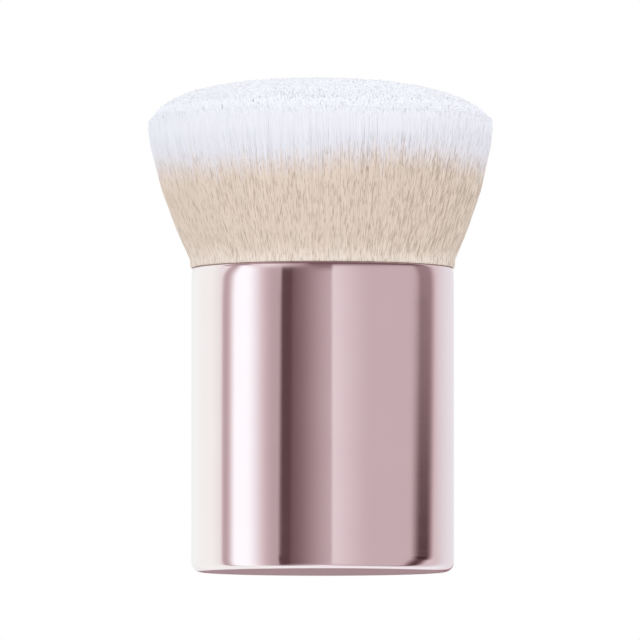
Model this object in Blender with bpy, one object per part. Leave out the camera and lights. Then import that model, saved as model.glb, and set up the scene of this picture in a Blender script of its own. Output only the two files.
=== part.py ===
"""Body makeup brush: a weighted metal handle with a dense, flared head of bristles.

The brush stands on its base. The origin is the centre of the base face and +Z runs up the
handle's axis. All lengths are in metres.
"""

import math

import bmesh
import bpy
from mathutils import Matrix, Vector

# Handle shell, drawn in one piece with a closed base
HANDLE_RADIUS = 0.0200
HANDLE_HEIGHT = 0.0464
SHELL_WALL = 0.0014
SHELL_FLOOR = 0.0013
BASE_ROUND = 0.0016
SHELL_INNER_ROUND = 0.0004
RIM_OUTER_ROUND_SHARE = 0.40
RIM_INNER_ROUND_SHARE = 0.14

# Clearance between pieces that seat on each other, and the least distance that parts two points
FIT_CLEARANCE = 0.0003
MERGE_DISTANCE = 0.000002

# Foam pad and steel weight on the shell's floor
PAD_THICKNESS = 0.0008
PAD_INSET = 0.0012
WEIGHT_THICKNESS = 0.0060
WEIGHT_CHAMFER = 0.0006

# Moulded core that fills the handle between the floor and the bristle cup
CORE_WALL = 0.0015
CORE_PLATE = 0.0020
CORE_CHAMFER = 0.0007
HUB_RADIUS = 0.0045
HUB_WALL = 0.0016
RIB_COUNT = 6
RIB_THICKNESS = 0.0014

# Cup that holds the bristle roots, set below the shell's rim
CUP_WALL = 0.0004
CUP_FLOOR = 0.0008
CUP_DEPTH = 0.0128
CUP_CORNER_ROUND = 0.0010
CUP_RECESS = 0.0064

# Cast resin around the bristle roots
RESIN_DEPTH = 0.0060
RESIN_COVER = 0.0003
RESIN_JOINT = 0.0003

# Bristle head above the rim
HEAD_RADIUS = 0.0261
HEAD_SHOULDER_HEIGHT = 0.0206
HEAD_DOME_HEIGHT = 0.0080
LIP_HEIGHT = 0.0009
RIM_LIFT = 0.0001
WHITE_TIP_START = 0.0161
FLARE_EXPONENT = 1.5
DOME_EXPONENT = 2.3
FLARE_BEND_SHARE = 0.35
RING_TWIST_SHARE = 0.25

# Strands: rings of six, twelve, eighteen and so on around one centre strand
SECTOR_COUNT = 6
RING_COUNT = 10
CENTRE_RING_COUNT = 4
STRAND_GAP = 0.00045
STRAND_ROOT = 0.0006
TIP_LENGTH = 0.0009
TIP_STEP = 0.0003
TIP_NARROWING_SHARE = 0.90
TIP_PATTERN_SHARES = (0.0, 1.0, 0.4, 0.7)

# Facets
ROUND_STEPS = 72
CORNER_STEPS = 5
RESIN_ARC_STEPS = 5
STRAND_SIDES = 3

# Colours, as linear red, green, blue and alpha
ROSE_METAL = (0.70, 0.47, 0.50, 1.0)
PLAIN_METAL = (0.62, 0.62, 0.63, 1.0)
STEEL_GREY = (0.34, 0.34, 0.35, 1.0)
CORE_WHITE = (0.70, 0.69, 0.66, 1.0)
FOAM_GREY = (0.08, 0.08, 0.085, 1.0)
BRISTLE_CREAM = (0.71, 0.61, 0.50, 1.0)
BRISTLE_WHITE = (0.85, 0.85, 0.92, 1.0)

# Radii worked out from the sizes above
BORE_RADIUS = HANDLE_RADIUS - SHELL_WALL
CORE_RADIUS = BORE_RADIUS - FIT_CLEARANCE
CORE_INSIDE = CORE_RADIUS - CORE_WALL
WEIGHT_RADIUS = CORE_INSIDE - FIT_CLEARANCE
PAD_RADIUS = WEIGHT_RADIUS - PAD_INSET
CUP_RADIUS = BORE_RADIUS - FIT_CLEARANCE
CUP_INSIDE = CUP_RADIUS - CUP_WALL
RESIN_RADIUS = CUP_INSIDE - FIT_CLEARANCE
TUFT_RADIUS = RESIN_RADIUS - RESIN_COVER

# Heights worked out from the sizes above, from the base up
PAD_BOTTOM = SHELL_FLOOR + FIT_CLEARANCE
WEIGHT_BOTTOM = PAD_BOTTOM + PAD_THICKNESS + FIT_CLEARANCE
WEIGHT_TOP = WEIGHT_BOTTOM + WEIGHT_THICKNESS
CORE_BOTTOM = SHELL_FLOOR + FIT_CLEARANCE
RIB_BOTTOM = WEIGHT_TOP + FIT_CLEARANCE
CUP_TOP = HANDLE_HEIGHT - CUP_RECESS
CUP_BOTTOM = CUP_TOP - CUP_DEPTH
CORE_TOP = CUP_BOTTOM - FIT_CLEARANCE
RESIN_BOTTOM = CUP_BOTTOM + CUP_FLOOR + FIT_CLEARANCE
RESIN_TOP = RESIN_BOTTOM + RESIN_DEPTH
TUFT_EXIT = HANDLE_HEIGHT + RIM_LIFT
TUFT_LIP = HANDLE_HEIGHT + LIP_HEIGHT
HEAD_SHOULDER = HANDLE_HEIGHT + HEAD_SHOULDER_HEIGHT
WHITE_START = HANDLE_HEIGHT + WHITE_TIP_START

SHARP_ANGLE = math.radians(35)
QUARTER_TURN = math.pi / 2
FULL_TURN = math.tau


def clear_scene():
    for thing in list(bpy.data.objects):
        bpy.data.objects.remove(thing, do_unlink=True)


def make_material(name, colour, roughness, metallic=0.0):
    material = bpy.data.materials.new(name)
    material.use_nodes = True
    shader = material.node_tree.nodes["Principled BSDF"]
    shader.inputs["Base Color"].default_value = colour
    shader.inputs["Roughness"].default_value = roughness
    shader.inputs["Metallic"].default_value = metallic
    material.diffuse_color = colour
    return material


def add_object(name, mesh, *materials):
    """Put a mesh into the scene as one named piece."""
    if not mesh.materials:
        for material in materials:
            mesh.materials.append(material)
    piece = bpy.data.objects.new(name, mesh)
    bpy.context.scene.collection.objects.link(piece)
    return piece


def finish_mesh(bm, name):
    """Turn a closed bmesh into a mesh with outward faces and smooth round sides."""
    bmesh.ops.recalc_face_normals(bm, faces=bm.faces)
    mesh = bpy.data.meshes.new(name)
    bm.to_mesh(mesh)
    bm.free()
    mesh.shade_smooth()
    mesh.set_sharp_from_angle(angle=SHARP_ANGLE)
    return mesh


def arc(centre_r, centre_z, radius, start, steps=CORNER_STEPS):
    """Points of a quarter circle that turns anticlockwise from the start angle."""
    points = []
    for step in range(steps + 1):
        angle = start + QUARTER_TURN * step / steps
        r = centre_r + radius * math.cos(angle)
        z = centre_z + radius * math.sin(angle)
        points.append((r, z))
    return points


def turned_mesh(name, outline, steps=ROUND_STEPS):
    """Spin an outline of radius and height around the Z axis.

    An outline that starts and ends on the axis gives a solid of revolution. Any other outline
    is closed on itself and gives a ring.
    """
    bm = bmesh.new()
    verts = [bm.verts.new((r, 0, z)) for r, z in outline]
    pairs = list(zip(verts, verts[1:]))
    if outline[0][0] > 0:
        pairs.append((verts[-1], verts[0]))
    edges = [bm.edges.new(pair) for pair in pairs]
    bmesh.ops.spin(
        bm,
        geom=verts + edges,
        cent=(0, 0, 0),
        axis=(0, 0, 1),
        angle=FULL_TURN,
        steps=steps,
        use_merge=True,
    )
    bmesh.ops.remove_doubles(bm, verts=bm.verts, dist=MERGE_DISTANCE)
    return finish_mesh(bm, name)


def prism_mesh(name, outline, bottom, top):
    """Extrude a flat outline of x and y from one height to another."""
    bm = bmesh.new()
    face = bm.faces.new([bm.verts.new((x, y, bottom)) for x, y in outline])
    walls = bmesh.ops.extrude_face_region(bm, geom=[face])
    lifted = [item for item in walls["geom"] if isinstance(item, bmesh.types.BMVert)]
    bmesh.ops.translate(bm, verts=lifted, vec=(0, 0, top - bottom))
    return finish_mesh(bm, name)


def union(piece, other):
    """Fuse a helper into a piece and delete the helper."""
    other.hide_render = True
    other.display_type = "WIRE"
    joint = piece.modifiers.new("fused", "BOOLEAN")
    joint.operation = "UNION"
    joint.solver = "EXACT"
    joint.object = other
    graph = bpy.context.evaluated_depsgraph_get()
    mesh = bpy.data.meshes.new_from_object(piece.evaluated_get(graph))
    piece.modifiers.clear()
    piece.data = mesh
    bpy.data.objects.remove(other)


def make_handle_shell():
    rim_outer = SHELL_WALL * RIM_OUTER_ROUND_SHARE
    rim_inner = SHELL_WALL * RIM_INNER_ROUND_SHARE
    outline = [(0, 0)]
    outline += arc(HANDLE_RADIUS - BASE_ROUND, BASE_ROUND, BASE_ROUND, -QUARTER_TURN)
    outline += arc(HANDLE_RADIUS - rim_outer, HANDLE_HEIGHT - rim_outer, rim_outer, 0)
    outline += arc(BORE_RADIUS + rim_inner, HANDLE_HEIGHT - rim_inner, rim_inner, QUARTER_TURN, 2)
    corner = arc(
        BORE_RADIUS - SHELL_INNER_ROUND,
        SHELL_FLOOR + SHELL_INNER_ROUND,
        SHELL_INNER_ROUND,
        -QUARTER_TURN,
        2,
    )
    outline += reversed(corner)
    outline.append((0, SHELL_FLOOR))
    rose = make_material("rose_metal", ROSE_METAL, 0.12, 1.0)
    add_object("handle_shell", turned_mesh("handle_shell", outline), rose)


def make_foam_pad():
    top = PAD_BOTTOM + PAD_THICKNESS
    outline = [(0, PAD_BOTTOM), (PAD_RADIUS, PAD_BOTTOM), (PAD_RADIUS, top), (0, top)]
    foam = make_material("foam", FOAM_GREY, 0.9)
    add_object("foam_pad", turned_mesh("foam_pad", outline), foam)


def make_base_weight():
    inner = WEIGHT_RADIUS - WEIGHT_CHAMFER
    outline = [
        (0, WEIGHT_BOTTOM),
        (inner, WEIGHT_BOTTOM),
        (WEIGHT_RADIUS, WEIGHT_BOTTOM + WEIGHT_CHAMFER),
        (WEIGHT_RADIUS, WEIGHT_TOP - WEIGHT_CHAMFER),
        (inner, WEIGHT_TOP),
        (0, WEIGHT_TOP),
    ]
    steel = make_material("steel", STEEL_GREY, 0.45, 1.0)
    add_object("base_weight", turned_mesh("base_weight", outline), steel)


def make_rib(index, plate_bottom):
    """One upright web from the hub to the core's skirt, sunk halfway into both walls."""
    start = HUB_RADIUS - HUB_WALL / 2
    length = CORE_INSIDE + CORE_WALL / 2 - start
    height = plate_bottom + CORE_PLATE / 2 - RIB_BOTTOM
    size = Matrix.Diagonal((length, RIB_THICKNESS, height, 1))
    place = Matrix.Translation((start + length / 2, 0, RIB_BOTTOM + height / 2))
    turn = Matrix.Rotation(FULL_TURN * index / RIB_COUNT, 4, "Z")
    return turn @ place @ size


def make_core_plug():
    plate_bottom = CORE_TOP - CORE_PLATE
    hub_bore = HUB_RADIUS - HUB_WALL
    outline = [
        (CORE_RADIUS - CORE_CHAMFER, CORE_BOTTOM),
        (CORE_RADIUS, CORE_BOTTOM + CORE_CHAMFER),
        (CORE_RADIUS, CORE_TOP - CORE_CHAMFER),
        (CORE_RADIUS - CORE_CHAMFER, CORE_TOP),
        (hub_bore, CORE_TOP),
        (hub_bore, RIB_BOTTOM),
        (HUB_RADIUS, RIB_BOTTOM),
        (HUB_RADIUS, plate_bottom),
        (CORE_INSIDE, plate_bottom),
        (CORE_INSIDE, CORE_BOTTOM),
    ]
    plastic = make_material("core_plastic", CORE_WHITE, 0.5)
    core = add_object("core_plug", turned_mesh("core_plug", outline), plastic)
    bm = bmesh.new()
    for index in range(RIB_COUNT):
        bmesh.ops.create_cube(bm, size=1, matrix=make_rib(index, plate_bottom))
    union(core, add_object("ribs", finish_mesh(bm, "ribs"), plastic))


def make_bristle_cup():
    inner_round = CUP_CORNER_ROUND - CUP_WALL
    inside_floor = CUP_BOTTOM + CUP_FLOOR
    outline = [(0, CUP_BOTTOM)]
    outline += arc(
        CUP_RADIUS - CUP_CORNER_ROUND,
        CUP_BOTTOM + CUP_CORNER_ROUND,
        CUP_CORNER_ROUND,
        -QUARTER_TURN,
        3,
    )
    outline += [(CUP_RADIUS, CUP_TOP), (CUP_INSIDE, CUP_TOP)]
    corner = arc(CUP_INSIDE - inner_round, inside_floor + inner_round, inner_round, -QUARTER_TURN, 3)
    outline += reversed(corner)
    outline.append((0, inside_floor))
    metal = make_material("cup_metal", PLAIN_METAL, 0.35, 1.0)
    add_object("bristle_cup", turned_mesh("bristle_cup", outline), metal)


def tuft_radius(z):
    """Outer radius of the tuft: straight up to the rim, out over its lip, then flared."""
    if z <= TUFT_EXIT:
        return TUFT_RADIUS
    if z <= TUFT_LIP:
        rise = (z - TUFT_EXIT) / (TUFT_LIP - TUFT_EXIT)
        return TUFT_RADIUS + (HANDLE_RADIUS - TUFT_RADIUS) * rise
    rest = 1 - min((z - TUFT_LIP) / (HEAD_SHOULDER - TUFT_LIP), 1)
    return HEAD_RADIUS - (HEAD_RADIUS - HANDLE_RADIUS) * rest**FLARE_EXPONENT


def dome_rise(share):
    """The dome's height over the shoulder, as a share of its full height: flat on top, steep at the side."""
    return (1 - share**DOME_EXPONENT) ** (1 / DOME_EXPONENT)


def ring_share(ring):
    """A ring's place between the axis and the tuft's outside, where half a ring is left over."""
    return ring / (RING_COUNT + 0.5)


def strand_levels(ring, tip_start):
    """Heights at which a strand has a section. Hidden inner strands need fewer."""
    levels = [RESIN_TOP - STRAND_ROOT, TUFT_EXIT]
    bend = TUFT_LIP + (WHITE_START - TUFT_LIP) * FLARE_BEND_SHARE
    if ring == RING_COUNT:
        levels += [TUFT_LIP, bend, WHITE_START]
    elif ring == RING_COUNT - 1:
        levels += [bend, WHITE_START]
    return levels + [tip_start]


def strand_direction(ring, angle, z):
    """Direction from the axis. Whole rings twist a little above the rim, by turns each way,
    so that the strands of one ring stand before the gaps of the next.
    """
    rise = max(z - TUFT_EXIT, 0) / (HEAD_SHOULDER - TUFT_EXIT)
    twist = RING_TWIST_SHARE * FULL_TURN / (SECTOR_COUNT * max(ring, 1)) * min(rise, 1)
    turned = angle + (twist if ring % 2 else -twist)
    return Vector((math.cos(turned), math.sin(turned), 0))


def strand_size(ring, z):
    """Distance from a strand's middle to a corner that keeps the gap to the next strand."""
    ring = max(ring, 1)
    half_turn = math.pi / (SECTOR_COUNT * ring)
    room = ring_share(ring) * tuft_radius(z) * math.sin(half_turn) - STRAND_GAP / 2
    corner = math.pi / STRAND_SIDES
    return room / math.sin(corner + half_turn)


def strand_section(ring, angle, z, narrowing):
    """Corners of a strand at one height, one of them pointing out from the axis."""
    size = narrowing * strand_size(ring, z)
    out = strand_direction(ring, angle, z)
    centre = out * ring_share(ring) * tuft_radius(z) + Vector((0, 0, z))
    corners = []
    for side in range(STRAND_SIDES):
        turn = Matrix.Rotation(FULL_TURN * side / STRAND_SIDES, 3, "Z")
        corners.append(centre + turn @ out * size)
    return corners


def add_strand(bm, ring, angle, index):
    """Loft one strand from the resin to its tip on the dome."""
    share = ring_share(ring)
    step = TIP_PATTERN_SHARES[(index + ring) % len(TIP_PATTERN_SHARES)] * TIP_STEP
    tip = HEAD_SHOULDER + HEAD_DOME_HEIGHT * dome_rise(share) - step
    sections = []
    for z in strand_levels(ring, tip - TIP_LENGTH):
        narrowing = TIP_NARROWING_SHARE if z > WHITE_START else 1
        corners = strand_section(ring, angle, z, narrowing)
        sections.append([bm.verts.new(corner) for corner in corners])
    bm.faces.new(reversed(sections[0]))
    for below, above in zip(sections, sections[1:]):
        white = above[0].co.z > WHITE_START
        for side in range(STRAND_SIDES):
            after = (side + 1) % STRAND_SIDES
            wall = bm.faces.new((below[side], below[after], above[after], above[side]))
            wall.material_index = int(white)
    out = strand_direction(ring, angle, tip)
    point = bm.verts.new(out * share * tuft_radius(tip) + Vector((0, 0, tip)))
    for side in range(STRAND_SIDES):
        after = (side + 1) % STRAND_SIDES
        slope = bm.faces.new((sections[-1][side], sections[-1][after], point))
        slope.material_index = 1


def arc_points(radius, start, end, steps):
    angles = [start + (end - start) * step / steps for step in range(steps + 1)]
    return [(radius * math.cos(angle), radius * math.sin(angle)) for angle in angles]


def resin_split_radius():
    """Radius that parts the centre bundle from the outer ones, halfway between their strands."""
    last, first = CENTRE_RING_COUNT, CENTRE_RING_COUNT + 1
    inside = ring_share(last) * TUFT_RADIUS + strand_size(last, RESIN_TOP)
    reach = strand_size(first, RESIN_TOP) * math.cos(math.pi / STRAND_SIDES)
    outside = ring_share(first) * TUFT_RADIUS - reach
    return (inside + outside) / 2


def centre_resin_outline():
    radius = resin_split_radius() - RESIN_JOINT / 2
    steps = RESIN_ARC_STEPS * SECTOR_COUNT
    return arc_points(radius, 0, FULL_TURN, steps)[:-1]


def sector_resin_outline():
    """A slice of ring whose straight sides keep half a joint to the neighbouring slices."""
    inner = resin_split_radius() + RESIN_JOINT / 2
    width = FULL_TURN / SECTOR_COUNT
    inner_margin = math.asin(RESIN_JOINT / 2 / inner)
    outer_margin = math.asin(RESIN_JOINT / 2 / RESIN_RADIUS)
    outside = arc_points(RESIN_RADIUS, outer_margin, width - outer_margin, RESIN_ARC_STEPS)
    inside = arc_points(inner, inner_margin, width - inner_margin, RESIN_ARC_STEPS)
    return outside + inside[::-1]


def bundle_mesh(name, outline, rings, turns, materials):
    """Strands of some rings, over a number of sectors, fused to their slice of resin."""
    resin = add_object(name, prism_mesh(name, outline, RESIN_BOTTOM, RESIN_TOP), *materials)
    bm = bmesh.new()
    for ring in rings:
        count = max(ring * turns, 1)
        for index in range(count):
            angle = FULL_TURN / SECTOR_COUNT * turns * (index + 0.5) / count
            add_strand(bm, ring, angle, index % max(ring, 1))
    union(resin, add_object("strands", finish_mesh(bm, "strands"), *materials))
    mesh = resin.data
    bpy.data.objects.remove(resin)
    return mesh


def make_bristles():
    """One round bundle in the centre and a ring of equal bundles around it."""
    cream = make_material("bristle_cream", BRISTLE_CREAM, 0.6)
    white = make_material("bristle_white", BRISTLE_WHITE, 0.6)
    inner_rings = range(CENTRE_RING_COUNT + 1)
    outer_rings = range(CENTRE_RING_COUNT + 1, RING_COUNT + 1)
    centre = bundle_mesh("centre", centre_resin_outline(), inner_rings, SECTOR_COUNT, (cream, white))
    add_object("bristle_bundle_centre", centre)
    sector = bundle_mesh("sector", sector_resin_outline(), outer_rings, 1, (cream, white))
    for index in range(SECTOR_COUNT):
        bundle = add_object(f"bristle_bundle_{index + 1}", sector)
        bundle.rotation_euler.z = FULL_TURN * index / SECTOR_COUNT


clear_scene()
make_handle_shell()
make_foam_pad()
make_base_weight()
make_core_plug()
make_bristle_cup()
make_bristles()
bpy.context.view_layer.update()
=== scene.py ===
import math

import bmesh
import bpy
import numpy as np
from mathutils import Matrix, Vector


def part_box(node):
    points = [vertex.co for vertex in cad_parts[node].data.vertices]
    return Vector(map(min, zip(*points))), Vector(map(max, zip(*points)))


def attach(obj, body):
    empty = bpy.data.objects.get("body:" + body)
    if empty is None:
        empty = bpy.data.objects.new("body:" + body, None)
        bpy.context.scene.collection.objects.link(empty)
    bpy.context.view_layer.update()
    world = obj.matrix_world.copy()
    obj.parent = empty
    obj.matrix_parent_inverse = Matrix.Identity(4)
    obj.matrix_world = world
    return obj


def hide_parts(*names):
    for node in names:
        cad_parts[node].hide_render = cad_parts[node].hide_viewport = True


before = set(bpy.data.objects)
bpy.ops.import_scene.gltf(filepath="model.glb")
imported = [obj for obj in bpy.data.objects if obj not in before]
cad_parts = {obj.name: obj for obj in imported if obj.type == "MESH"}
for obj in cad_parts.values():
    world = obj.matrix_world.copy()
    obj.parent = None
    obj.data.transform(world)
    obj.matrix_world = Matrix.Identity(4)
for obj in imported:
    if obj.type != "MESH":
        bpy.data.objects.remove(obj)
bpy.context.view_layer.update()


# Handle shell: one cup drawn from aluminium sheet, polished and dyed a pale rose pink.
# Its rim is rolled smooth and its wall draws in by a hair below it; the underside is satin.
# The weight, the core and the bristle cup are pressed into it from above.
SHELL_STEPS = 288
SHELL_WALL = 0.0014
SHELL_FLOOR = 0.0013
BASE_ROUND = 0.0016
RIM_ROUND = 0.00055
RIM_INNER_ROUND = 0.0002
FLOOR_ROUND = 0.0004
DRAW_START = 0.0405
DRAW_IN = 0.00003
LIP_START = 0.0438
LIP_END = 0.04585
LIP_IN = 0.00004
UNDERSIDE_RINGS = (0, 0.006, 0.012, 0.0165, 0.0180)
WALL_RINGS = (0.0020, 0.0030, 0.0100, 0.0250, 0.0380)
LIP_RINGS = (0.0405, 0.0410, 0.0416, 0.0422, 0.0428, 0.0433, 0.0437, 0.0440, 0.0443, 0.0446, 0.0449,
             0.0452, 0.0454, 0.0456, 0.0458)
BORE_RINGS = (0.0450, 0.0300, 0.0100, 0.0020)
FLOOR_RINGS = (0.0174, 0.0080, 0)
ROSE_POLISHED = (0.80, 0.61, 0.64, 1)
ROSE_DEEP = (0.785, 0.592, 0.623, 1)
ROSE_EDGE = (0.97, 0.93, 0.945, 1)
POLISH_ROUGHNESS = (0.082, 0.098)
RING_ROUGHNESS = (-0.004, 0.006)
SATIN_ROUGHNESS = 0.12
SATIN_HEIGHTS = (0.00001, 0.00006)


def start_finish(name):
    """A new finish, its node tree and its shader."""
    finish = bpy.data.materials.new(name)
    finish.use_nodes = True
    return finish, finish.node_tree, finish.node_tree.nodes["Principled BSDF"]


def add_node(tree, kind, inputs=None, **choices):
    """A node with its choices set; an input is a number, a colour or another node's output."""
    made = tree.nodes.new("ShaderNode" + kind)
    for choice, value in choices.items():
        setattr(made, choice, value)
    for socket, value in (inputs or {}).items():
        if isinstance(value, bpy.types.NodeSocket):
            tree.links.new(value, made.inputs[socket])
        else:
            made.inputs[socket].default_value = value
    return made


def work_out(tree, operation, *values):
    """One step of arithmetic."""
    return add_node(tree, "Math", dict(enumerate(values)), operation=operation).outputs[0]


def spread(tree, value, low_in, high_in, low_out, high_out, steps="LINEAR"):
    """A value moved from one range to another and kept inside it."""
    ends = {"Value": value, "From Min": low_in, "From Max": high_in, "To Min": low_out, "To Max": high_out}
    return add_node(tree, "MapRange", ends, interpolation_type=steps).outputs[0]


def own_place(tree):
    """The piece's own place in metres, as the outputs X, Y and Z."""
    return add_node(tree, "SeparateXYZ", {0: add_node(tree, "TexCoord").outputs["Object"]}).outputs


def noise_on(tree, stretch, scale, detail, roughness):
    """Noise on the piece's own place in metres, with its grain stretched by three factors."""
    place = add_node(tree, "TexCoord").outputs["Object"]
    stretched = add_node(tree, "Mapping", {"Vector": place, "Scale": stretch}).outputs[0]
    wanted = {"Vector": stretched, "Scale": scale, "Detail": detail, "Roughness": roughness}
    return add_node(tree, "TexNoise", wanted).outputs["Fac"]


def mix_colours(tree, share, first, second, blend_type="MIX"):
    """Two colours mixed by a share."""
    return add_node(tree, "Mix", {0: share, 6: first, 7: second},
                    data_type="RGBA", blend_type=blend_type).outputs[2]


def set_tones(tree, shader, share, first, second):
    """The colour, mixed from two tones by a share."""
    tree.links.new(mix_colours(tree, share, first, second), shader.inputs["Base Color"])


def set_grain(tree, shader, pattern, strength, distance):
    """Fine relief that follows the pattern."""
    grain = add_node(tree, "Bump", {"Height": pattern, "Strength": strength, "Distance": distance})
    tree.links.new(grain.outputs[0], shader.inputs["Normal"])


def settle_order(body):
    """The same body with its faces and their corners in a fixed order, which some operators leave
    to chance. A face with four corners keeps the two between which it is split into triangles.
    The normals are worked out, because the rounding of the rings goes by them."""
    body.verts.index_update()
    rings = []
    for face in body.faces:
        ring = [v.index for v in face.verts]
        first = ring.index(min(ring[::2] if len(ring) == 4 else ring))
        rings.append(ring[first:] + ring[:first])
    settled = bmesh.new()
    corners = [settled.verts.new(v.co) for v in body.verts]
    for ring in sorted(rings):
        settled.faces.new([corners[index] for index in ring])
    settled.normal_update()
    body.free()
    return settled


def turn_outline(outline, rounds, steps):
    """A closed round body: an outline of radius and height turned about the axis.
    The rings that are named in rounds are then rounded."""
    body = bmesh.new()
    corners = [body.verts.new((radius, 0, height)) for radius, height in outline]
    sides = [body.edges.new(pair) for pair in zip(corners, corners[1:])]
    bmesh.ops.spin(body, geom=corners + sides, cent=(0, 0, 0), axis=(0, 0, 1), dvec=(0, 0, 0),
                   angle=math.tau, steps=steps, use_merge=True, use_duplicate=False)
    bmesh.ops.remove_doubles(body, verts=body.verts[:], dist=1e-7)
    body = settle_order(body)
    for radius, height, size, segments in rounds:
        ring = [edge for edge in body.edges if all(
            abs(math.hypot(v.co.x, v.co.y) - radius) < 2e-6 and abs(v.co.z - height) < 2e-6
            for v in edge.verts)]
        ends = list(dict.fromkeys(v for edge in ring for v in edge.verts))
        bmesh.ops.bevel(body, geom=ring + ends, offset=size, offset_type="OFFSET", segments=segments,
                        profile=0.5, affect="EDGES", material=-1, clamp_overlap=True)
    bmesh.ops.remove_doubles(body, verts=body.verts[:], dist=1e-7)
    bmesh.ops.recalc_face_normals(body, faces=body.faces[:])
    return settle_order(body)


def place_piece(name, body, finish, stands_for):
    """The finished body as a smooth piece that rides on the brush."""
    mesh = bpy.data.meshes.new(name)
    body.to_mesh(mesh)
    body.free()
    mesh.polygons.foreach_set("use_smooth", [True] * len(mesh.polygons))
    mesh.materials.append(finish)
    piece = bpy.data.objects.new(name, mesh)
    bpy.context.scene.collection.objects.link(piece)
    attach(piece, "root")
    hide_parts(*stands_for)


shell_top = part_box("handle_shell")[1]
shell_radius, shell_height = shell_top.x, shell_top.z
shell_inside = shell_radius - SHELL_WALL


def wall_radius(height):
    """The outside of the wall, which draws in by a hair below the rim."""
    drawn = max(0.0, (height - DRAW_START) / (LIP_END - DRAW_START))
    rolled = max(0.0, (height - LIP_START) / (LIP_END - LIP_START))
    return shell_radius - DRAW_IN * drawn ** 2 - LIP_IN * rolled ** 3


shell_outline = [(radius, 0) for radius in UNDERSIDE_RINGS + (shell_radius,)]
shell_outline += [(shell_radius, height) for height in WALL_RINGS]
shell_outline += [(wall_radius(height), height) for height in LIP_RINGS + (shell_height,)]
shell_outline += [(shell_inside, height) for height in (shell_height,) + BORE_RINGS + (SHELL_FLOOR,)]
shell_outline += [(radius, SHELL_FLOOR) for radius in FLOOR_RINGS]
shell_rounds = [
    (shell_radius, 0, BASE_ROUND, 12),
    (wall_radius(shell_height), shell_height, RIM_ROUND, 12),
    (shell_inside, shell_height, RIM_INNER_ROUND, 4),
    (shell_inside, SHELL_FLOOR, FLOOR_ROUND, 4),
]

rose_metal, rose_tree, rose_shader = start_finish("rose_metal")
rose_cloud = noise_on(rose_tree, stretch=(1, 1, 1), scale=95, detail=4, roughness=0.55)
polish_rings = noise_on(rose_tree, stretch=(12, 12, 900), scale=9, detail=2, roughness=0.5)
polish_haze = noise_on(rose_tree, stretch=(1, 1, 1.6), scale=260, detail=3, roughness=0.6)
set_tones(rose_tree, rose_shader, spread(rose_tree, rose_cloud, 0.3, 0.7, 0, 1), ROSE_POLISHED, ROSE_DEEP)
rose_shader.inputs["Metallic"].default_value = 1.0
rose_shader.inputs["Specular Tint"].default_value = ROSE_EDGE
rough_wall = work_out(rose_tree, "ADD", spread(rose_tree, polish_haze, 0.3, 0.7, *POLISH_ROUGHNESS),
                      spread(rose_tree, polish_rings, 0.3, 0.7, *RING_ROUGHNESS))
satin_under = spread(rose_tree, own_place(rose_tree)["Z"], *SATIN_HEIGHTS, SATIN_ROUGHNESS, 0.0)
rose_tree.links.new(work_out(rose_tree, "ADD", rough_wall, satin_under), rose_shader.inputs["Roughness"])
set_grain(rose_tree, rose_shader, polish_rings, strength=0.03, distance=0.00002)

place_piece("handle_shell_polished", turn_outline(shell_outline, shell_rounds, SHELL_STEPS),
            rose_metal, ["handle_shell"])


# Foam pad: a thin disc of dark closed-cell foam, cut from sheet with a round knife.
# It lies loose between the shell's floor and the weight, so that the weight doesn't rattle.
FOAM_SKIN = (0.070, 0.070, 0.075, 1)
# The cut cells are darker than the foam's skin: painted shade in their hollows.
FOAM_CELL_PAINTED_SHADE = (0.030, 0.030, 0.033, 1)
FOAM_CELLS_PER_METRE = 2600.0
FOAM_ROUGHNESS = (0.98, 0.86)


def set_roughness(tree, shader, pattern, low, high, at_low, at_high):
    """The roughness goes from one value to another while the pattern goes from low to high."""
    tree.links.new(spread(tree, pattern, low, high, at_low, at_high), shader.inputs["Roughness"])


def finish_node(node, finish):
    """A CAD node in its own shape, with this finish alone."""
    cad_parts[node].data.materials.clear()
    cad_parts[node].data.materials.append(finish)


foam, foam_tree, foam_shader = start_finish("foam")
foam_cells = add_node(foam_tree, "TexVoronoi", {
    "Vector": add_node(foam_tree, "TexCoord").outputs["Object"],
    "Scale": FOAM_CELLS_PER_METRE}, feature="F1").outputs["Distance"]
foam_holes = spread(foam_tree, foam_cells, 0.15, 0.6, 0, 1)
set_tones(foam_tree, foam_shader, foam_holes, FOAM_CELL_PAINTED_SHADE, FOAM_SKIN)
set_roughness(foam_tree, foam_shader, foam_holes, 0, 1, *FOAM_ROUGHNESS)
set_grain(foam_tree, foam_shader, foam_holes, strength=0.5, distance=0.0001)
foam_shader.inputs["Specular IOR Level"].default_value = 0.3
finish_node("foam_pad", foam)


# Base weight: a turned disc of plain steel with a chamfer all round, which keeps the short brush standing.
# The lathe leaves fine rings on its faces, and thin oil has dulled it a little.
STEEL_BRIGHT = (0.50, 0.50, 0.51, 1)
STEEL_DULL = (0.34, 0.335, 0.33, 1)
STEEL_ROUGHNESS = (0.30, 0.46)
LATHE_LINES_PER_METRE = 5200.0

steel, steel_tree, steel_shader = start_finish("steel")
steel_place = own_place(steel_tree)
steel_flat = add_node(steel_tree, "CombineXYZ", {0: steel_place["X"], 1: steel_place["Y"]}).outputs[0]
steel_radius = add_node(steel_tree, "VectorMath", {0: steel_flat}, operation="LENGTH").outputs["Value"]
steel_rings = add_node(steel_tree, "TexNoise", {
    "W": work_out(steel_tree, "ADD", steel_radius, steel_place["Z"]),
    "Scale": LATHE_LINES_PER_METRE, "Detail": 2.0}, noise_dimensions="1D").outputs["Fac"]
steel_stain = noise_on(steel_tree, stretch=(1, 1, 1), scale=180, detail=5, roughness=0.6)
steel_dulled = spread(steel_tree, steel_stain, 0.4, 0.7, 0, 1)
set_tones(steel_tree, steel_shader, steel_dulled, STEEL_BRIGHT, STEEL_DULL)
steel_shader.inputs["Metallic"].default_value = 1.0
set_roughness(steel_tree, steel_shader, steel_stain, 0.3, 0.7, *STEEL_ROUGHNESS)
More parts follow.
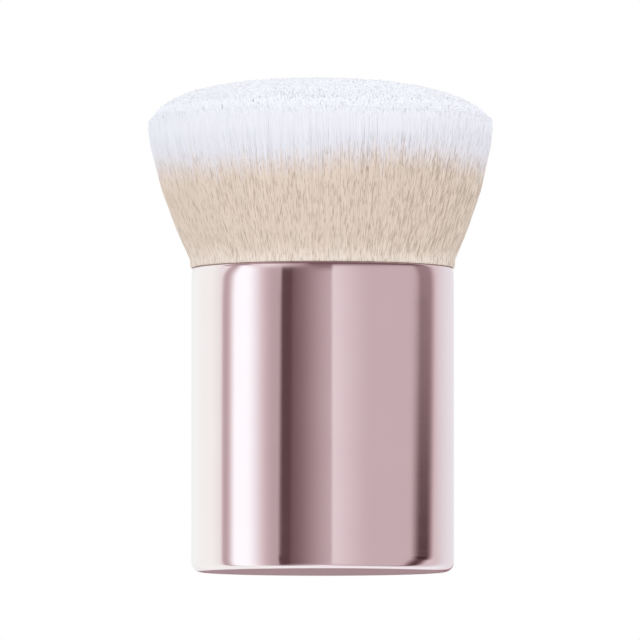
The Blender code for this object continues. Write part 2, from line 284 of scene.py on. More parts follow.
set_grain(steel_tree, steel_shader, steel_rings, strength=0.35, distance=0.00003)
finish_node("base_weight", steel)


# Core plug: a ribbed spool moulded in natural, undyed plastic. It holds the weight down
# and carries the bristle cup at its height, and is a light press fit in the shell.
PLASTIC_PALE = (0.72, 0.71, 0.67, 1)
PLASTIC_DEEP = (0.66, 0.645, 0.60, 1)
PLASTIC_ROUGHNESS = (0.46, 0.60)

core_plastic, core_tree, core_shader = start_finish("core_plastic")
core_flow = noise_on(core_tree, stretch=(1, 1, 0.35), scale=120, detail=4, roughness=0.55)
core_grain = noise_on(core_tree, stretch=(1, 1, 1), scale=3200, detail=2, roughness=0.5)
core_streaks = spread(core_tree, core_flow, 0.35, 0.65, 0, 1)
set_tones(core_tree, core_shader, core_streaks, PLASTIC_PALE, PLASTIC_DEEP)
set_roughness(core_tree, core_shader, core_grain, 0.3, 0.7, *PLASTIC_ROUGHNESS)
set_grain(core_tree, core_shader, core_grain, strength=0.25, distance=0.00002)
finish_node("core_plug", core_plastic)


# Bristle cup: a thin inner cup drawn from bare aluminium, in which the bristles' roots are cast.
# Drawing leaves fine lines up its wall. It is pressed into the shell below the rim.
DRAWN_BRIGHT = (0.70, 0.70, 0.71, 1)
DRAWN_GREY = (0.56, 0.56, 0.575, 1)
DRAWN_ROUGHNESS = (0.26, 0.42)

cup_metal, cup_tree, cup_shader = start_finish("cup_metal")
cup_lines = noise_on(cup_tree, stretch=(2600, 2600, 60), scale=1, detail=3, roughness=0.6)
cup_haze = noise_on(cup_tree, stretch=(1, 1, 1), scale=210, detail=4, roughness=0.55)
set_tones(cup_tree, cup_shader, spread(cup_tree, cup_haze, 0.35, 0.65, 0, 1), DRAWN_BRIGHT, DRAWN_GREY)
cup_shader.inputs["Metallic"].default_value = 1.0
set_roughness(cup_tree, cup_shader, cup_lines, 0.3, 0.7, *DRAWN_ROUGHNESS)
set_grain(cup_tree, cup_shader, cup_lines, strength=0.3, distance=0.00002)
finish_node("bristle_cup", cup_metal)


# Root resin: clear casting resin poured round the bristles' roots, yellowed a little by its cure.
# It fills the inner cup and creeps up between the bristles, so its top is uneven.
RESIN_STEPS = 96
RESIN_RADIUS = 0.0176
RESIN_TOP = 0.0343
RESIN_CORNER = 0.0012
RESIN_CLEAR = (0.66, 0.58, 0.44, 1)
RESIN_MILKY = (0.74, 0.68, 0.57, 1)
RESIN_ROUGHNESS = (0.16, 0.30)
BUNDLES = ["bristle_bundle_centre"] + ["bristle_bundle_%d" % number for number in range(1, 7)]

resin_low = min(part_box(bundle)[0].z for bundle in BUNDLES)
resin_outline = [(radius, resin_low) for radius in (0, 0.009, 0.0155)]
resin_outline += [(RESIN_RADIUS, resin_low + RESIN_CORNER), (RESIN_RADIUS, 0.0310)]
resin_outline += [(radius, RESIN_TOP - sunk) for radius, sunk in (
    (RESIN_RADIUS, 0.0001), (0.0172, 0.0006), (0.0162, 0.0009), (0.0120, 0.0010), (0.0060, 0.0010),
    (0, 0.0010))]

root_resin, resin_tree, resin_shader = start_finish("root_resin")
resin_cloud = noise_on(resin_tree, stretch=(1, 1, 1), scale=240, detail=4, roughness=0.6)
resin_milk = spread(resin_tree, resin_cloud, 0.35, 0.7, 0, 1)
set_tones(resin_tree, resin_shader, resin_milk, RESIN_CLEAR, RESIN_MILKY)
set_roughness(resin_tree, resin_shader, resin_cloud, 0.3, 0.7, *RESIN_ROUGHNESS)
set_grain(resin_tree, resin_shader, resin_cloud, strength=0.4, distance=0.0002)

place_piece("root_resin", turn_outline(resin_outline, [], RESIN_STEPS), root_resin, BUNDLES)


# Bristles: tens of thousands of fine synthetic filaments, cream with tips dyed white by dipping.
# Their roots are cast in the cup; they press out over the shell's rim and flare to a domed head.
# Each filament here stands for a few real ones, so its tip is wider than theirs.
BRISTLE_SEED = 45
SHADES = 64

# The tuft's outside, from its roots over the rim and the shoulder to the dome.
ROOT_HEIGHT = 0.0339
ROOT_RADIUS = 0.01735
RIM_EXIT = 0.0470
SHOULDER = 0.0670
HEAD_RADIUS = 0.0261
HEAD_FLARE = 0.0062
FLARE_CURVE = 1.5
HEAD_SWAY = -0.0003
DOME_HEIGHT = 0.0080
DOME_SQUARE = 2.3
DOME_REACH = 0.99
DOME_TILT = 0.007
WORN_CORNER = 0.0005
WORN_START = 0.80
WORN_SPAN = 0.19

# Shares of the tuft's radius at which its pieces meet. The outermost filaments are its skin.
CENTRE_END = 0.40
MEETING = 0.93
MEETING_SPREAD = 0.018
MEETING_MOST = 0.986
LEAST_DEPTH = 0.004
SKIN_START = 0.992
SKIN_END = 0.998
SKIN_TIP_SPREAD = 0.0009

# How many filaments each piece of the tuft has.
SKIN_FILAMENTS = 760
OUTER_FILAMENTS = 1300
INNER_FILAMENTS = 4900
CENTRE_FILAMENTS = 8600

# One filament.
SKIN_SIDES = 5
INNER_SIDES = 3
THICKNESS = 0.000070
THICKNESS_UNEVEN = 0.12
THICKNESS_LIMITS = (0.7, 1.4)
SKIN_TURN = 0.2
TIP_THICKNESS_SHARE = 2.2
TIP_LENGTH = 0.0002

# How far filaments stand from their even places, and how they lean, wave and kink on the way up.
EVEN_STEPS = (0.7548776662, 0.5698402910)
SCATTER = 0.004
SKIN_SCATTER = 0.001
STRAY_SHARE = 0.03
STRAY_FACTOR = 3.0
TIP_UNEVEN = 0.00010
TIP_STRAY = 0.00004
RISE_MOST = 1.3
LEAN = 0.00003
WAVE = 0.00002
WAVE_TURN = 5.2
PUSH = 0.00002
KINK = 0.00002
KINK_RISE = 8
LEAST_RADIUS = 0.0015
LOCK_WAVES = 14
LOCK_DEPTH = 0.000012
LOCK_RISE = 1.6

# How much the shading follows the tuft's surface and not the single filament.
SOFT_SHARE = 0.45
SOFT_TIP_SHARE = 0.60
SOFT_SPAN = 0.0030

# The map along a filament.
UV_LOW = 0.0320
UV_SPAN = 0.0440
UV_SIDE_STEP = 0.003
UV_MARGIN = 0.2
CHANGE_RAGGED = 0.0008

# Colours, and the heights between which each one gives way to the next.
# Just above the rim the cream is lighter: painted light over the shade at the tuft's foot.
ROOT_CREAM_PAINTED_LIGHT = (0.890, 0.785, 0.700, 1)
CREAM = (0.795, 0.676, 0.580, 1)
BLUSH = (0.820, 0.765, 0.785, 1)
SIDE_WHITE = (0.812, 0.819, 0.882, 1)
# The dome's white is lighter than the sides' white: white dye with painted light on top, making up for the
# shade between the tips.
TIP_WHITE_PAINTED_LIGHT = (0.869, 0.878, 0.931, 1)
CREAM_HEIGHTS = (0.0468, 0.0490)
BLUSH_HEIGHTS = (0.0592, 0.0624)
SIDE_WHITE_HEIGHTS = (0.0610, 0.0642)
TIP_PAINTED_LIGHT_HEIGHTS = (0.0688, 0.0714)
SHADE_HEIGHTS = (0.0600, 0.0645)
SHADE_DEPTHS = (0.92, 0.985)
DIP_ACROSS = (-0.005, 0.008, 0.00045, -0.0008)
DIP_AT_RIGHT = (0.0180, 0.0235, 0.0, 0.0009)
BRISTLE_ROUGHNESS = (0.48, 0.62)

# Short dark dashes of painted shade, standing for the shaded gaps between filaments, with more of them and
# painted shade reaching into the white on the right side.
DASH_SHADE_COLOUR = (0.70, 0.67, 0.635, 1)
DASHES_PER_METRE = 600.0
DASH_SHUFFLE = 977.0
DASH_LEVELS = (0.52, 0.70)
DASH_HEIGHTS = (0.0612, 0.0645)
DASH_SIDE_PLACES = (0.003, 0.019)
# The right side's extra dashes and its darker white are painted shade.
DASH_RIGHT_SHADE = 0.10
RIGHT_SHADE_PLACES = (0.010, 0.022)
RIGHT_SHADE_HEIGHTS = (0.0660, 0.0690)
RIGHT_SHADE_SHARE = 0.45


def tuft_radius(height):
    """The outside of the tuft above the rim, which flares up to the shoulder."""
    flared = np.clip((height - RIM_EXIT) / (SHOULDER - RIM_EXIT), 0, 1)
    return HEAD_RADIUS - HEAD_FLARE * (1 - flared) ** FLARE_CURVE


def filament_pattern(sides, rings):
    """One straight filament of so many sides and rings, closed by a cap at the root and a point
    at the tip."""
    body = bmesh.new()
    made = bmesh.ops.create_circle(body, cap_ends=True, radius=1.0, segments=sides)
    edges = list(dict.fromkeys(edge for v in made["verts"] for edge in v.link_edges))
    for _ in range(rings - 1):
        pulled = bmesh.ops.extrude_edge_only(body, edges=edges)["geom"]
        fresh = [item for item in pulled if isinstance(item, bmesh.types.BMVert)]
        edges = [item for item in pulled if isinstance(item, bmesh.types.BMEdge)]
        bmesh.ops.translate(body, verts=fresh, vec=(0, 0, 1))
    point = sum((v.co.z for v in fresh)) / len(fresh)
    bmesh.ops.pointmerge(body, verts=fresh, merge_co=(0, 0, point))
    bmesh.ops.recalc_face_normals(body, faces=body.faces[:])
    return settle_order(body)


def repeat_filament(name, count, sides, rings):
    """A mesh of so many equal filaments, all still in one place."""
    pattern = filament_pattern(sides, rings)
    mesh = bpy.data.meshes.new(name + "_pattern")
    pattern.to_mesh(mesh)
    pattern.free()
    mesh.uv_layers.new(name="OFBake")
    single = bpy.data.objects.new(name + "_pattern", mesh)
    bpy.context.scene.collection.objects.link(single)
    copies = single.modifiers.new("copies", "ARRAY")
    copies.count = count
    copies.use_relative_offset = False
    bpy.context.view_layer.update()
    grown = bpy.data.meshes.new_from_object(single.evaluated_get(bpy.context.evaluated_depsgraph_get()))
    grown.name = name
    bpy.data.objects.remove(single)
    bpy.data.meshes.remove(mesh)
    return grown


def scatter_filaments(chance, count, skins, angles):
    """Where each filament stands: its share of the tuft's radius, its angle, how stray it is and the
    height of its tip. The places are evenly spread, and each is moved by chance."""
    order = np.arange(count) + chance.uniform(0, 1)
    share = np.mod(order * EVEN_STEPS[0] + chance.normal(0, SCATTER, count), 1)
    loose = SKIN_SCATTER if skins[0] == SKIN_START else SCATTER
    turn = np.mod(order * EVEN_STEPS[1] + chance.normal(0, loose, count), 1)

    # Where an inner and an outer piece meet, their filaments mix, so that no ring shows on the dome.
    inside, outside = [edge + (MEETING_SPREAD if edge == MEETING else 0) * chance.normal(0, 1, count)
                       for edge in skins]
    inside = np.minimum(inside, skins[1] - LEAST_DEPTH)
    outside = np.minimum(outside, MEETING_MOST if skins[1] == MEETING else skins[1])
    skin = np.sqrt(inside ** 2 + (outside ** 2 - inside ** 2) * share)
    angle = angles[0] + (angles[1] - angles[0]) * turn
    stray = np.where(chance.uniform(0, 1, count) < STRAY_SHARE, STRAY_FACTOR, 1.0)

    # The tips make the dome, which leans to the right and is worn a little at its left edge.
    tip = SHOULDER + DOME_HEIGHT * (1 - (skin * DOME_REACH) ** DOME_SQUARE) ** (1 / DOME_SQUARE)
    tip = tip - np.abs(chance.normal(0, TIP_UNEVEN, count)) + chance.normal(0, TIP_STRAY, count) * stray
    tip = tip - DOME_TILT * HEAD_RADIUS * skin * np.cos(angle)
    worn = np.clip((skin - WORN_START) / WORN_SPAN, 0, 1) ** 2
    tip = tip - WORN_CORNER * worn * np.clip(-np.cos(angle), 0, 1) ** 2
    tip = tip - np.where(skin > SKIN_START, SKIN_TIP_SPREAD * chance.uniform(-0.5, 1, count), 0)
    return skin, angle, stray, tip


def bend_filaments(chance, height, fixed_radius, skin, angle, stray):
    """The middle of each ring of each filament, and its angle. Filaments lean and wander a little more
    the higher they are, and gather in faint locks."""
    count = len(skin)
    rise = np.clip((height - RIM_EXIT) / (SHOULDER - RIM_EXIT), 0, RISE_MOST)
    lean = chance.normal(0, LEAN, count)[:, None] * stray[:, None] * rise
    wave = chance.normal(0, WAVE, (count, 1)) * np.sin(
        rise * WAVE_TURN + chance.uniform(0, math.tau, (count, 1))) * rise
    push = chance.normal(0, PUSH, count)[:, None] * stray[:, None] * rise
    locks = np.zeros(height.shape)
    shared = np.random.default_rng(BRISTLE_SEED)
    for _ in range(LOCK_WAVES):
        round_waves, deep_waves = shared.integers(40, 150), shared.uniform(-60, 60)
        phase, climb = shared.uniform(0, math.tau), shared.uniform(0, 6)
        locks += LOCK_DEPTH * np.sin(round_waves * angle[:, None] + deep_waves * skin[:, None]
                                     + phase + climb * rise) * np.clip(rise * LOCK_RISE, 0, 1)
    kinks = chance.normal(0, KINK, (2, *height.shape)) * np.clip(rise * KINK_RISE, 0, 1)
    radius = fixed_radius * skin[:, None] + push + kinks[0] * 0.5
    across = lean + wave + locks + kinks[1]
    around = angle[:, None] + across / np.maximum(radius, LEAST_RADIUS)
    return np.stack([radius * np.cos(around) + HEAD_SWAY * rise, radius * np.sin(around), height], 2), around


def tuft_shading(height, around, skin):
    """The direction that the tuft's own surface faces at each ring."""
    crown = np.clip((height - SHOULDER) / DOME_HEIGHT, 0, 1) ** (DOME_SQUARE - 1) * HEAD_RADIUS / DOME_HEIGHT
    rim_side = np.maximum(skin[:, None], 0.05) ** (DOME_SQUARE - 1)
    soft = np.stack([rim_side * np.cos(around), rim_side * np.sin(around), crown], 2)
    return soft / np.linalg.norm(soft, axis=2, keepdims=True)


def grow_filaments(name, stands_for, count, sides, skins, angles, path, seed):
    """A piece of the tuft: so many filaments between two shares of the tuft's radius and two angles.
    The path holds the heights of their lower rings and the tuft's radius there."""
    chance = np.random.default_rng(seed)
    grown = repeat_filament(name, count, sides, len(path) + 2)

    corners = np.empty(len(grown.vertices) * 3, np.float32)
    grown.vertices.foreach_get("co", corners)
    corners = corners.reshape(count, -1, 3).astype(float)
    ring = np.rint(corners[0, :, 2]).astype(int)
    at_tip = np.hypot(corners[0, :, 0], corners[0, :, 1]) < 0.5
    side = np.rint(np.arctan2(corners[0, :, 1], corners[0, :, 0]) / (math.tau / sides)).astype(int) % sides

    skin, angle, stray, tip = scatter_filaments(chance, count, skins, angles)
    lower = np.repeat(np.array(path)[None], count, 0)
    upper = np.stack([tip - TIP_LENGTH, tip], 1)
    height = np.concatenate([lower[:, :, 0], upper], 1)
    fixed_radius = np.concatenate([lower[:, :, 1], tuft_radius(upper)], 1)
    centre, around = bend_filaments(chance, height, fixed_radius, skin, angle, stray)

    # Each ring stands square to its filament's run.
    along = np.gradient(centre, axis=1)
    along /= np.linalg.norm(along, axis=2, keepdims=True)
    sideways = np.stack([-np.sin(around), np.cos(around), np.zeros_like(around)], 2)
    sideways -= along * np.sum(sideways * along, 2, keepdims=True)
    sideways /= np.linalg.norm(sideways, axis=2, keepdims=True)
    inward = np.cross(along, sideways)
    uneven = chance.normal(1, THICKNESS_UNEVEN, count).clip(*THICKNESS_LIMITS)[:, None]
    width = THICKNESS * uneven * np.where(height > tip[:, None] - TIP_LENGTH * 1.5, TIP_THICKNESS_SHARE, 1)
    if skins[0] == SKIN_START:
        turned = chance.normal(0, SKIN_TURN, count)
    else:
        turned = chance.uniform(0, math.tau, count)
    twist = turned[:, None] + side[None, :] * math.tau / sides
    outward = np.cos(twist)[:, :, None] * sideways[:, ring] + np.sin(twist)[:, :, None] * inward[:, ring]
    placed = centre[:, ring] + np.where(at_tip[None, :], 0, width[:, ring])[:, :, None] * outward
    grown.vertices.foreach_set("co", placed.astype(np.float32).ravel())

    # The fine filaments scatter light as one soft body, so their shading leans to the tuft's own surface.
    softness = SOFT_SHARE + (SOFT_TIP_SHARE - SOFT_SHARE) * np.clip((height - SHOULDER) / SOFT_SPAN, 0, 1)
    softness = softness[:, ring][:, :, None]
    normals = softness * tuft_shading(height, around, skin)[:, ring] + (1 - softness) * outward
    normals /= np.linalg.norm(normals, axis=2, keepdims=True)

    # Along the filament the map holds its height, moved where the white starts early or late;
    # across, it holds one of the shades that single filaments have.
    shade = chance.integers(0, SHADES, count)
    late = chance.normal(0, CHANGE_RAGGED, count)
    strip = np.where(at_tip, 0.5, UV_MARGIN + (1 - 2 * UV_MARGIN) * side / (sides - 1))
    across_map = (shade[:, None] + strip[None, :]) / SHADES
    along_map = ((height[:, ring] - late[:, None] - UV_LOW) / UV_SPAN
                 + np.where(side == 1, UV_SIDE_STEP, 0)[None, :])
    maps = np.stack([across_map, np.clip(along_map, 0.005, 0.995)], 2).reshape(-1, 2)
    used = np.empty(len(grown.loops), np.int32)
    grown.loops.foreach_get("vertex_index", used)
    grown.uv_layers["OFBake"].data.foreach_set("uv", maps[used].astype(np.float32).ravel())
    grown.polygons.foreach_set("use_smooth", [True] * len(grown.polygons))
    grown.materials.clear()
    grown.materials.append(bristle_finish)
    grown.update()
    grown.validate()
    grown.normals_split_custom_set_from_vertices(normals.reshape(-1, 3))

    piece = bpy.data.objects.new(name, grown)
    bpy.context.scene.collection.objects.link(piece)
    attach(piece, "root")
    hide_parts(stands_for)


bristle_finish, bristle_tree, bristle_shader = start_finish("bristles")
bristle_map = add_node(bristle_tree, "SeparateXYZ", {
    0: add_node(bristle_tree, "UVMap", uv_map="OFBake").outputs[0]}).outputs
bristle_height = work_out(bristle_tree, "MULTIPLY_ADD", bristle_map["Y"], UV_SPAN, UV_LOW)
bristle_shade = add_node(bristle_tree, "TexWhiteNoise", {"W": work_out(
    bristle_tree, "FLOOR", work_out(bristle_tree, "MULTIPLY", bristle_map["X"], float(SHADES)))},
    noise_dimensions="1D").outputs[0]

# The line where the white starts is tilted, as if the head was dipped at a slant,
# and turns back at the right.
sideways_place = own_place(bristle_tree)["X"]
dip_line = work_out(bristle_tree, "ADD", spread(bristle_tree, sideways_place, *DIP_ACROSS),
                    spread(bristle_tree, sideways_place, *DIP_AT_RIGHT))
dyed_height = work_out(bristle_tree, "ADD", bristle_height, dip_line)
# The colour starts from the lighter cream by the rim, which is painted light.
bristle_colour = ROOT_CREAM_PAINTED_LIGHT
# At the top the white lightens again, as painted light on the dome.
for level, heights, colour in (
        (bristle_height, CREAM_HEIGHTS, CREAM), (dyed_height, BLUSH_HEIGHTS, BLUSH),
        (dyed_height, SIDE_WHITE_HEIGHTS, SIDE_WHITE), (bristle_height, TIP_PAINTED_LIGHT_HEIGHTS, TIP_WHITE_PAINTED_LIGHT)):
    reached = spread(bristle_tree, level, *heights, 0, 1)
    bristle_colour = mix_colours(bristle_tree, reached, bristle_colour, colour)

# Each filament has its own shade, which is fainter in the white.
shade_depth = spread(bristle_tree, bristle_height, *SHADE_HEIGHTS, *SHADE_DEPTHS)
shade_tone = spread(bristle_tree, bristle_shade, 0.0, 1.0, shade_depth, 1.0)
shade_grey = add_node(bristle_tree, "CombineColor", {0: shade_tone, 1: shade_tone, 2: shade_tone}).outputs[0]
bristle_colour = mix_colours(bristle_tree, 1.0, bristle_colour, shade_grey, "MULTIPLY")

# Dashes of painted shade along the filaments.
dash_place = add_node(bristle_tree, "CombineXYZ", {
    0: work_out(bristle_tree, "MULTIPLY", bristle_shade, DASH_SHUFFLE),
    1: work_out(bristle_tree, "MULTIPLY", bristle_height, DASHES_PER_METRE)}).outputs[0]
dashes = add_node(bristle_tree, "TexNoise", {"Vector": dash_place, "Scale": 1.0, "Detail": 1.0},
                  noise_dimensions="2D").outputs["Fac"]
# The right side gets more dashes, reaching up into the white: painted shade on the side away from the light.
dashes = work_out(bristle_tree, "ADD", dashes,
                  spread(bristle_tree, sideways_place, *DASH_SIDE_PLACES, 0.0, DASH_RIGHT_SHADE))
right_shade = work_out(bristle_tree, "MULTIPLY",
                      spread(bristle_tree, sideways_place, *RIGHT_SHADE_PLACES, 0.0, RIGHT_SHADE_SHARE),
                      spread(bristle_tree, bristle_height, *RIGHT_SHADE_HEIGHTS, 1.0, 0.0))
dash_depth = work_out(bristle_tree, "MAXIMUM",
                      spread(bristle_tree, dyed_height, *DASH_HEIGHTS, 1.0, 0.0), right_shade)
dash_share = work_out(bristle_tree, "MULTIPLY", spread(bristle_tree, dashes, *DASH_LEVELS, 0, 1), dash_depth)
dash_shade_colour = mix_colours(bristle_tree, 1.0, bristle_colour, DASH_SHADE_COLOUR, "MULTIPLY")
set_tones(bristle_tree, bristle_shader, dash_share, bristle_colour, dash_shade_colour)
set_roughness(bristle_tree, bristle_shader, bristle_shade, 0, 1, *BRISTLE_ROUGHNESS)
bristle_shader.inputs["Specular IOR Level"].default_value = 0.25

# Filaments of the skin press on the rim and roll out over it; those behind them bend less and less.
ROOT_PATH = [(ROOT_HEIGHT, ROOT_RADIUS)]
SKIN_PATH = ROOT_PATH + [(0.0454, 0.01835), (0.0464, 0.0187), (0.04647, 0.0193), (0.04647, 0.01955)]
SKIN_PATH += [(0.04639, 0.01986), (0.04631, 0.0200), (0.0465, 0.02012), (0.0468, 0.02014)]
SKIN_PATH += [(height, float(tuft_radius(height))) for height in (0.0475, 0.0520, 0.0580, 0.0650)]
OUTER_PATH = ROOT_PATH + [(0.0461, 0.01835), (0.0470, 0.0194)]
OUTER_PATH += [(height, float(tuft_radius(height))) for height in (0.0500, 0.0560, 0.0640)]
INNER_PATH = ROOT_PATH + [(0.0465, 0.0189), (0.0600, float(tuft_radius(0.0600)))]
CENTRE_PATH = ROOT_PATH + [(0.0540, float(tuft_radius(0.0540)))]
SIXTH = math.tau / 6
for number in range(6):
    bundle = "bristle_bundle_%d" % (number + 1)
    sector = (SIXTH * (number - 0.5), SIXTH * (number + 0.5))
    grow_filaments("bristles_skin_%d" % (number + 1), bundle, SKIN_FILAMENTS, SKIN_SIDES,
                   (SKIN_START, SKIN_END), sector, SKIN_PATH, BRISTLE_SEED + number)
    grow_filaments("bristles_outer_%d" % (number + 1), bundle, OUTER_FILAMENTS, SKIN_SIDES,
                   (MEETING, SKIN_START), sector, OUTER_PATH, BRISTLE_SEED + 10 + number)
    grow_filaments("bristles_inner_%d" % (number + 1), bundle, INNER_FILAMENTS, INNER_SIDES,
                   (CENTRE_END, MEETING), sector, INNER_PATH, BRISTLE_SEED + 20 + number)
grow_filaments("bristles_centre", "bristle_bundle_centre", CENTRE_FILAMENTS, INNER_SIDES,
               (0.0, CENTRE_END), (0, math.tau), CENTRE_PATH, BRISTLE_SEED + 30)


# Floor: a wide pale sheet of card under the brush.
# It is clear from below, where the camera looks up past its edge.
FLOOR_SIZE = 12.0
FLOOR_DROP = 0.0003
FLOOR_PALE = (0.78, 0.78, 0.785, 1)

floor_body = bmesh.new()
bmesh.ops.create_grid(floor_body, x_segments=1, y_segments=1, size=FLOOR_SIZE)
bmesh.ops.translate(floor_body, verts=floor_body.verts[:], vec=(0, 0, -FLOOR_DROP))
floor_mesh = bpy.data.meshes.new("floor")
floor_body.to_mesh(floor_mesh)
floor_body.free()
floor = bpy.data.objects.new("floor", floor_mesh)
bpy.context.scene.collection.objects.link(floor)
floor_card, floor_tree, floor_shader = start_finish("floor_card")
floor_shader.inputs["Base Color"].default_value = FLOOR_PALE
floor_shader.inputs["Roughness"].default_value = 0.95
floor_shader.inputs["Specular IOR Level"].default_value = 0.0
floor_clear = add_node(floor_tree, "MixShader", {
    0: add_node(floor_tree, "NewGeometry").outputs["Backfacing"],
    1: floor_shader.outputs[0],
    2: add_node(floor_tree, "BsdfTransparent").outputs[0]})
floor_tree.links.new(floor_clear.outputs[0], floor_tree.nodes["Material Output"].inputs["Surface"])
floor_mesh.materials.append(floor_card)
floor.visible_glossy = False


# Studio: a white room with a plain level of light, and one broad soft lamp overhead, a little in front.
# Polished metal sees the room's white walls, its tall soft boxes and the dark cards between them.
ROOM_LEVEL = 1.17
LAMP_PLACE = (0.05, -0.30, 1.38)
LAMP_SIZE = 1.5
LAMP_POWER = 4.0
LAMP_COLOUR = (0.95, 0.97, 1.0)

studio = bpy.context.scene.world or bpy.data.worlds.new("studio")
bpy.context.scene.world = studio
studio.use_nodes = True
room = studio.node_tree
room.nodes.clear()
facing = add_node(room, "SeparateXYZ", {0: add_node(room, "TexCoord").outputs["Generated"]}).outputs


def sums(operation, *values):
    """One step of arithmetic in the room's light."""
    return work_out(room, operation, *values)


def smooth(value, low, high, low_out=0.0, high_out=1.0):
    """A soft step between two values."""
    return spread(room, value, low, high, low_out, high_out, "SMOOTHSTEP")


def even(value, low, high, low_out, high_out):
    """A straight ramp between two values."""
    return spread(room, value, low, high, low_out, high_out)


def layer(below, share, above):
    """One level of light laid over another by a share."""
    return add_node(room, "Mix", {0: share, 2: below, 3: above}, data_type="FLOAT").outputs[0]


# Directions in degrees: bearing from the camera's own, to the right, and height over the horizon.
bearing = sums("DEGREES", sums("ARCTAN2", facing["X"], sums("MULTIPLY", facing["Y"], -1.0)))
upward = sums("DEGREES", sums("ARCSINE", facing["Z"]))

# Below the horizon the panels' edges lean, so that they stay upright in the rounding of the base.
# Above and below they also bend a little, as their corners do in the rim and at the foot of the wall.
half_turn = sums("ARCTAN2", facing["X"], sums("SUBTRACT", 1.0, facing["Y"]))
upright = sums("DEGREES", sums("MULTIPLY", half_turn, 2.0))
low_front = sums("MULTIPLY", smooth(upward, 0.0, -4.0), smooth(sums("ABSOLUTE", bearing), 150.0, 115.0))
across = layer(bearing, low_front, upright)
corner_left = sums("MULTIPLY", even(upward, 3.0, 9.0, 0.0, -12.0), smooth(across, -55.0, -85.0))
corner_right = sums("MULTIPLY", even(upward, 3.0, 9.0, 0.0, 6.0), smooth(across, 55.0, 80.0))
corner_low = sums("MULTIPLY", even(upward, 1.0, -40.0, 0.0, 7.0), smooth(across, 55.0, 80.0))
curved = sums("ADD", across, sums("ADD", corner_left, sums("ADD", corner_right, corner_low)))
leaning = sums("ADD", curved, smooth(upward, 1.5, 3.3, 2.4, 0.0))

# Tall panels, each laid over those before it: the line that it follows, its two ends in degrees,
# how softly each end fades, and its level.
walls = 1.0
for line, start, end, start_soft, end_soft, level in (
        # The white wall on the left, then a grey card with a bright soft box before it.
        (curved, -158.0, -100.4, 12.0, 3.2, smooth(across, -100.0, -118.0, 1.04, 1.12)),
        (curved, -99.0, -36.5, 2.5, 0.8, 0.60),
        (curved, -88.2, -57.2, 6.0, 15.0, 1.28),
        # The dark card in the middle, which is darkest at its left edge.
        (across, -31.0, 8.3, 0.8, 0.8, smooth(across, -34.0, 16.0, 0.17, 0.70)),
        (leaning, -36.4, -26.3, 0.8, 0.8, 0.125),
        # The broad soft box on the right, then the white wall behind it.
        (curved, 8.3, 92.0, 0.8, 5.5, sums("ADD", 0.703, smooth(across, 2.0, 46.0, 0.245, 0.0))),
        (curved, 104.0, 178.0, 8.0, 4.0, smooth(across, 116.0, 142.0, 0.84, 0.95))):
    opened = smooth(line, start - start_soft, start + start_soft)
    closed = smooth(line, end - end_soft, end + end_soft, 1.0, 0.0)
    walls = layer(walls, sums("MULTIPLY", opened, closed), level)

# A dark stripe between the right soft box and the white wall, narrower and darker towards its foot.
stripe_lean = sums("ADD", curved, smooth(upward, 1.5, 3.3, 4.8, 0.0))
stripe_end = sums("ADD", smooth(upward, 2.3, 1.8, 0.0, 1.3), even(upward, 1.9, -10.0, 0.0, 5.0))
stripe_share = sums("MULTIPLY", smooth(stripe_lean, 85.6, 98.4),
                    smooth(sums("ADD", stripe_lean, stripe_end), 108.8, 121.6, 1.0, 0.0))
stripe_level = sums("ADD", even(upward, 1.95, 2.84, 0.055, 0.385), even(upward, 1.0, -6.0, 0.0, 0.075))
walls = layer(walls, stripe_share, stripe_level)

# Above the panels the room is dim, apart from one low strip lamp to the left and the ceiling.
centre_dim = sums("MULTIPLY", smooth(across, -14.0, -4.0), smooth(across, 9.5, 7.5))
walls = layer(walls, sums("MULTIPLY", smooth(upward, 5.2, 8.2), centre_dim), 0.34)
front_share = sums("MULTIPLY", smooth(across, -102.0, -96.0), smooth(across, 106.0, 96.0))
walls = layer(walls, sums("MULTIPLY", smooth(upward, 8.0, 12.0), front_share),
              smooth(across, -70.0, -30.0, 0.50, 0.21))
strip_share = sums("MULTIPLY", sums("MULTIPLY", smooth(upward, 6.6, 9.4), smooth(upward, 36.0, 12.0)),
                   sums("MULTIPLY", smooth(across, -74.0, -62.0), smooth(across, -8.0, -20.0)))
walls = layer(walls, strip_share, smooth(across, -50.0, -14.0, 0.98, 0.50))
walls = layer(walls, smooth(upward, 55.0, 75.0), 0.80)

# Below them the table glows, most of all behind the brush, apart from a dark edge far off.
walls = layer(walls, smooth(upward, -62.0, -82.0, 0.0, 0.6), 0.72)
behind = smooth(sums("ABSOLUTE", across), 130.0, 160.0)
walls = layer(walls, sums("MULTIPLY", behind, smooth(upward, -12.0, -34.0)), 1.12)
far_edge = sums("MAXIMUM", smooth(across, 166.0, 174.0), smooth(across, -175.0, -178.5))
far_height = sums("MULTIPLY", smooth(upward, -0.2, -1.2), smooth(upward, -22.0, -10.0))
far_share = sums("MULTIPLY", far_edge, far_height)
walls = layer(walls, far_share, 0.33)

# The dim parts of the room are a little warmer than its white parts.
bright = sums("MULTIPLY", sums("MAXIMUM", sums("SUBTRACT", walls, 0.85), 0.0), 0.40)
left_white = sums("MULTIPLY", smooth(across, -98.0, -108.0, 0.0, 0.08), smooth(across, -174.0, -162.0))
right_white = sums("MULTIPLY", smooth(across, 116.0, 128.0, 0.0, 0.07), smooth(across, 168.0, 150.0))
green_share = sums("SUBTRACT", 1.05, sums("MULTIPLY", far_share, 0.22))
green = sums("ADD", sums("MULTIPLY", sums("POWER", walls, 1.25), green_share),
             sums("ADD", bright, sums("ADD", left_white, right_white)))
blue_share = sums("SUBTRACT", 1.05, sums("MULTIPLY", far_share, 0.17))
blue = sums("ADD", sums("MULTIPLY", sums("POWER", walls, 1.22), blue_share), sums("ADD", bright, right_white))
glow = add_node(room, "CombineColor", {0: walls, 1: green, 2: blue}).outputs[0]

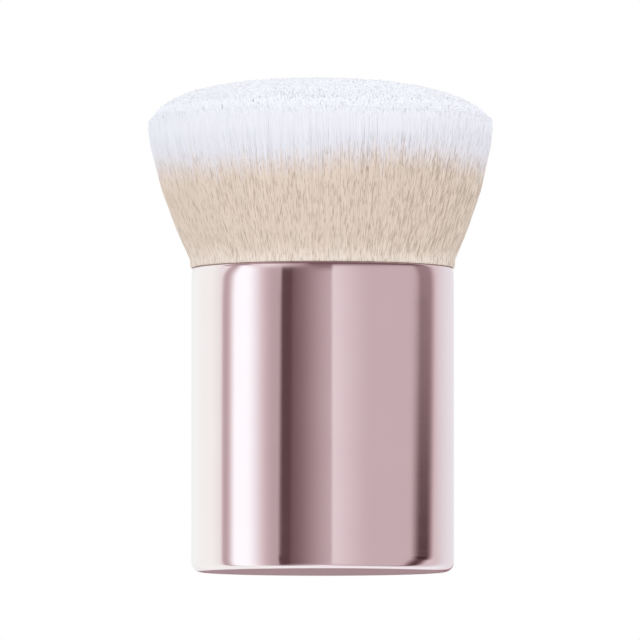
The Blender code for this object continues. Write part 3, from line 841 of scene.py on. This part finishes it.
# Metal sees the walls, everything else is lit by the plain level, and the camera sees white.
ray = add_node(room, "LightPath").outputs
plain = add_node(room, "Background", {"Color": (1, 1, 1, 1), "Strength": ROOM_LEVEL}).outputs[0]
white = add_node(room, "Background", {"Color": (1, 1, 1, 1), "Strength": 1.0}).outputs[0]
seen = add_node(room, "Background", {"Color": glow, "Strength": 1.0}).outputs[0]
lit = add_node(room, "MixShader", {0: ray["Is Glossy Ray"], 1: plain, 2: seen}).outputs[0]
clear_rays = sums("MAXIMUM", ray["Is Camera Ray"], ray["Is Transmission Ray"])
lit = add_node(room, "MixShader", {0: clear_rays, 1: lit, 2: white}).outputs[0]
room.links.new(lit, add_node(room, "OutputWorld").inputs["Surface"])

lamp_light = bpy.data.lights.new("soft_lamp", "AREA")
lamp_light.shape = "DISK"
lamp_light.size = LAMP_SIZE
lamp_light.color = LAMP_COLOUR
lamp_light.energy = LAMP_POWER
soft_lamp = bpy.data.objects.new("soft_lamp", lamp_light)
soft_lamp.location = LAMP_PLACE
soft_lamp.rotation_mode = "QUATERNION"
soft_lamp.rotation_quaternion = soft_lamp.location.to_track_quat("Z", "Y")
soft_lamp.visible_glossy = False
soft_lamp.visible_camera = False
bpy.context.scene.collection.objects.link(soft_lamp)


# Camera: a long lens a little below the base, so that the underside shows as a thin ellipse.
# It looks up slightly, at the middle of the brush.
CAMERA_PLACE = (-0.0004, -1.8600, -0.0575)
CAMERA_PITCH = 2.95
FRAME_DISTANCE = math.hypot(1.86, 0.0957)
FRAME_WIDTH = 0.09734
SENSOR_WIDTH = 36.0

camera_lens = bpy.data.cameras.new("camera")
camera_lens.sensor_width = SENSOR_WIDTH
camera_lens.lens = SENSOR_WIDTH * FRAME_DISTANCE / FRAME_WIDTH
camera_lens.clip_start = 0.05
camera_lens.clip_end = 60.0
camera = bpy.data.objects.new("camera", camera_lens)
camera.location = CAMERA_PLACE
camera.rotation_euler = (math.radians(90 + CAMERA_PITCH), 0, 0)
bpy.context.scene.collection.objects.link(camera)
bpy.context.scene.camera = camera
bpy.context.scene.view_settings.view_transform = "Standard"
